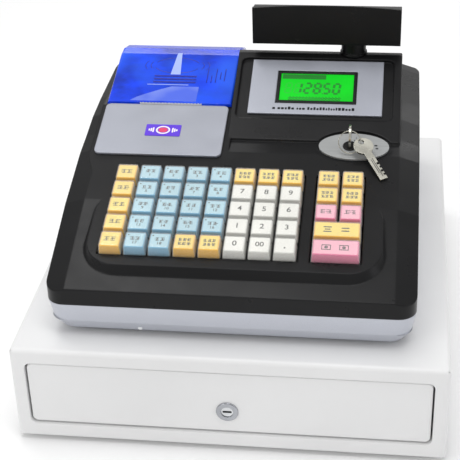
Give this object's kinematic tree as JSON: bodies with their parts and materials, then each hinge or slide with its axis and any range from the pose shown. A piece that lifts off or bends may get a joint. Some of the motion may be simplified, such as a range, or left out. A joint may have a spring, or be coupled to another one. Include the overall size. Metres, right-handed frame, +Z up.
{
  "type": "cash register",
  "caption": "Electronic cash register with sloping keyboard, receipt printer, operator and customer displays and mode lock, standing on a sliding cash drawer.",
  "frame": {"origin": "on the table, under the middle of the drawer case", "axes": "+X to the operator's right, +Y to the back, +Z up; the operator stands at -Y"},
  "size_m": [0.35, 0.405, 0.2775],
  "materials": {
    "case_paint": "fine-textured powder coat, satin",
    "zinc_steel": "zinc plated",
    "chrome": "nickel plated, polished",
    "rubber": "matt",
    "tray_plastic": "moulded, fine texture",
    "silver_plastic": "silver metallic paint, satin",
    "black_plastic": "moulded, satin",
    "clear_blue": "clear blue acrylic, glossy",
    "printer_metal": "plain",
    "paper": "thermal paper, matt",
    "display_green": "lit green display behind a clear window",
    "display_window": "smoked red window",
    "lock_plate": "fine satin",
    "circuit_board": "green board with parts",
    "key_white": "clear cap over a coloured insert",
    "key_yellow": "clear cap over a coloured insert",
    "key_blue": "clear cap over a coloured insert",
    "key_pink": "clear cap over a coloured insert"
  },
  "bodies": {
    "register": {"drawer_case": "case_paint", "case_base_plate": "case_paint", "rubber_feet": "rubber", "case_rails": "zinc_steel", "eject_spring": "zinc_steel", "release_solenoid": "zinc_steel", "case_screws": "chrome", "base_housing": "silver_plastic", "top_housing": "black_plastic", "key_plate": "black_plastic", "main_board": "circuit_board", "power_supply": "printer_metal", "power_inlet": "black_plastic", "printer_panel": "silver_plastic", "lid_hinge_pin": "zinc_steel", "printer_frame": "printer_metal", "paper_spindle": "black_plastic", "display_bezel": "silver_plastic", "lcd_module": "display_green", "lock_plate": "lock_plate", "display_pole": "black_plastic"},
    "drawer": {"drawer_box": "zinc_steel", "drawer_front": "case_paint", "drawer_lock_body": "chrome", "drawer_runners": "zinc_steel", "money_tray": "tray_plastic", "clip_rod": "zinc_steel"},
    "drawer_plug": {"drawer_lock_plug": "chrome"},
    "lid": {"printer_lid": "clear_blue"},
    "display_head": {"customer_display_case": "black_plastic", "customer_display_window": "display_window"},
    "mode_barrel": {"mode_lock_barrel": "black_plastic", "mode_key": "chrome"},
    "ring": {"key_ring": "chrome"},
    "spare": {"spare_key": "chrome"},
    "roll": {"paper_roll": "paper"},
    "platen": {"platen_roller": "rubber"},
    "latch": {"latch_lever": "zinc_steel"},
    "clip_1": {"bill_clip_1": "chrome"},
    "clip_2": {"bill_clip_2": "chrome"},
    "clip_3": {"bill_clip_3": "chrome"},
    "clip_4": {"bill_clip_4": "chrome"},
    "key_0": {"key_0": "key_white"},
    "key_00": {"key_00": "key_white"},
    "key_point": {"key_point": "key_white"},
    "key_1": {"key_1": "key_white"},
    "key_2": {"key_2": "key_white"},
    "key_3": {"key_3": "key_white"},
    "key_4": {"key_4": "key_white"},
    "key_5": {"key_5": "key_white"},
    "key_6": {"key_6": "key_white"},
    "key_7": {"key_7": "key_white"},
    "key_8": {"key_8": "key_white"},
    "key_9": {"key_9": "key_white"},
    "subtotal_key": {"subtotal_key": "key_yellow"},
    "cash_key": {"cash_key": "key_pink"},
    "pink_keys": {"pink_keys": "key_pink"},
    "yellow_keys_right": {"yellow_keys_right": "key_yellow"},
    "yellow_keys_left": {"yellow_keys_left": "key_yellow"},
    "blue_keys": {"blue_keys": "key_blue"}
  },
  "joints": [
    {"name": "drawer_slide", "type": "slide", "parent": "register", "child": "drawer", "axis": [0, -1, 0], "range_m": [0, 0.25]},
    {"name": "printer_lid_hinge", "type": "hinge", "parent": "register", "child": "lid", "pos_m": [-0.076, 0.139, 0.202], "axis": [-1, 0, 0], "range_deg": [0, 95]},
    {"name": "customer_display_swivel", "type": "hinge", "parent": "register", "child": "display_head", "pos_m": [0.0856, 0.0915, 0.24], "axis": [0, 0, 1], "range_deg": [-90, 90]},
    {"name": "mode_lock_turn", "type": "hinge", "parent": "register", "child": "mode_barrel", "pos_m": [0.0877, -0.01949, 0.1873], "axis": [0, -0.2504, 0.9681], "range_deg": [0, 45]},
    {"name": "key_ring_swing", "type": "hinge", "parent": "mode_barrel", "child": "ring", "pos_m": [0.0877, -0.02397, 0.20463], "axis": [-1, 0, 0], "range_deg": [0, 40]},
    {"name": "spare_key_swing", "type": "hinge", "parent": "ring", "child": "spare", "pos_m": [0.0972, -0.02735, 0.19575], "axis": [0.1019, -0.416, 0.9036], "range_deg": [-8, 20]},
    {"name": "drawer_lock_turn", "type": "hinge", "parent": "drawer", "child": "drawer_plug", "pos_m": [0, -0.195, 0.0387], "axis": [0, 1, 0], "range_deg": [0, 90]},
    {"name": "paper_roll_spin", "type": "hinge", "parent": "register", "child": "roll", "pos_m": [-0.075, 0.1, 0.184], "axis": [1, 0, 0], "continuous": true},
    {"name": "platen_spin", "type": "hinge", "parent": "register", "child": "platen", "pos_m": [-0.075, 0.048, 0.19], "axis": [1, 0, 0], "continuous": true},
    {"name": "bill_clip_1_lift", "type": "hinge", "parent": "drawer", "child": "clip_1", "pos_m": [-0.10875, 0.0702, 0.057], "axis": [-1, 0, 0], "range_deg": [0, 38]},
    {"name": "bill_clip_2_lift", "type": "hinge", "parent": "drawer", "child": "clip_2", "pos_m": [-0.03625, 0.0702, 0.057], "axis": [-1, 0, 0], "range_deg": [0, 38]},
    {"name": "bill_clip_3_lift", "type": "hinge", "parent": "drawer", "child": "clip_3", "pos_m": [0.03625, 0.0702, 0.057], "axis": [-1, 0, 0], "range_deg": [0, 38]},
    {"name": "bill_clip_4_lift", "type": "hinge", "parent": "drawer", "child": "clip_4", "pos_m": [0.10875, 0.0702, 0.057], "axis": [-1, 0, 0], "range_deg": [0, 38]},
    {"name": "latch_lever_tilt", "type": "hinge", "parent": "register", "child": "latch", "pos_m": [0.034, 0.178, 0.012], "axis": [-1, 0, 0], "range_deg": [0, 5]},
    {"name": "key_0_press", "type": "slide", "parent": "register", "child": "key_0", "axis": [0, 0.2504, -0.9681], "range_m": [0, 0.0035], "stiffness_N_per_m": 200, "springref_m": -0.002},
    {"name": "key_00_press", "type": "slide", "parent": "register", "child": "key_00", "axis": [0, 0.2504, -0.9681], "range_m": [0, 0.0035], "stiffness_N_per_m": 200, "springref_m": -0.002},
    {"name": "key_point_press", "type": "slide", "parent": "register", "child": "key_point", "axis": [0, 0.2504, -0.9681], "range_m": [0, 0.0035], "stiffness_N_per_m": 200, "springref_m": -0.002},
    {"name": "key_1_press", "type": "slide", "parent": "register", "child": "key_1", "axis": [0, 0.2504, -0.9681], "range_m": [0, 0.0035], "stiffness_N_per_m": 200, "springref_m": -0.002},
    {"name": "key_2_press", "type": "slide", "parent": "register", "child": "key_2", "axis": [0, 0.2504, -0.9681], "range_m": [0, 0.0035], "stiffness_N_per_m": 200, "springref_m": -0.002},
    {"name": "key_3_press", "type": "slide", "parent": "register", "child": "key_3", "axis": [0, 0.2504, -0.9681], "range_m": [0, 0.0035], "stiffness_N_per_m": 200, "springref_m": -0.002},
    {"name": "key_4_press", "type": "slide", "parent": "register", "child": "key_4", "axis": [0, 0.2504, -0.9681], "range_m": [0, 0.0035], "stiffness_N_per_m": 200, "springref_m": -0.002},
    {"name": "key_5_press", "type": "slide", "parent": "register", "child": "key_5", "axis": [0, 0.2504, -0.9681], "range_m": [0, 0.0035], "stiffness_N_per_m": 200, "springref_m": -0.002},
    {"name": "key_6_press", "type": "slide", "parent": "register", "child": "key_6", "axis": [0, 0.2504, -0.9681], "range_m": [0, 0.0035], "stiffness_N_per_m": 200, "springref_m": -0.002},
    {"name": "key_7_press", "type": "slide", "parent": "register", "child": "key_7", "axis": [0, 0.2504, -0.9681], "range_m": [0, 0.0035], "stiffness_N_per_m": 200, "springref_m": -0.002},
    {"name": "key_8_press", "type": "slide", "parent": "register", "child": "key_8", "axis": [0, 0.2504, -0.9681], "range_m": [0, 0.0035], "stiffness_N_per_m": 200, "springref_m": -0.002},
    {"name": "key_9_press", "type": "slide", "parent": "register", "child": "key_9", "axis": [0, 0.2504, -0.9681], "range_m": [0, 0.0035], "stiffness_N_per_m": 200, "springref_m": -0.002},
    {"name": "subtotal_key_press", "type": "slide", "parent": "register", "child": "subtotal_key", "axis": [0, 0.2504, -0.9681], "range_m": [0, 0.0035], "stiffness_N_per_m": 400, "springref_m": -0.002},
    {"name": "cash_key_press", "type": "slide", "parent": "register", "child": "cash_key", "axis": [0, 0.2504, -0.9681], "range_m": [0, 0.0035], "stiffness_N_per_m": 400, "springref_m": -0.002},
    {"name": "pink_keys_press", "type": "slide", "parent": "register", "child": "pink_keys", "axis": [0, 0.2504, -0.9681], "range_m": [0, 0.0035], "stiffness_N_per_m": 400, "springref_m": -0.002},
    {"name": "yellow_keys_right_press", "type": "slide", "parent": "register", "child": "yellow_keys_right", "axis": [0, 0.2504, -0.9681], "range_m": [0, 0.0035], "stiffness_N_per_m": 800, "springref_m": -0.002},
    {"name": "yellow_keys_left_press", "type": "slide", "parent": "register", "child": "yellow_keys_left", "axis": [0, 0.2504, -0.9681], "range_m": [0, 0.0035], "stiffness_N_per_m": 2000, "springref_m": -0.002},
    {"name": "blue_keys_press", "type": "slide", "parent": "register", "child": "blue_keys", "axis": [0, 0.2504, -0.9681], "range_m": [0, 0.0035], "stiffness_N_per_m": 3600, "springref_m": -0.002}
  ],
  "couplings": [
    {"joint": "platen_spin", "follows": "paper_roll_spin", "ratio": 4.1667}
  ]
}
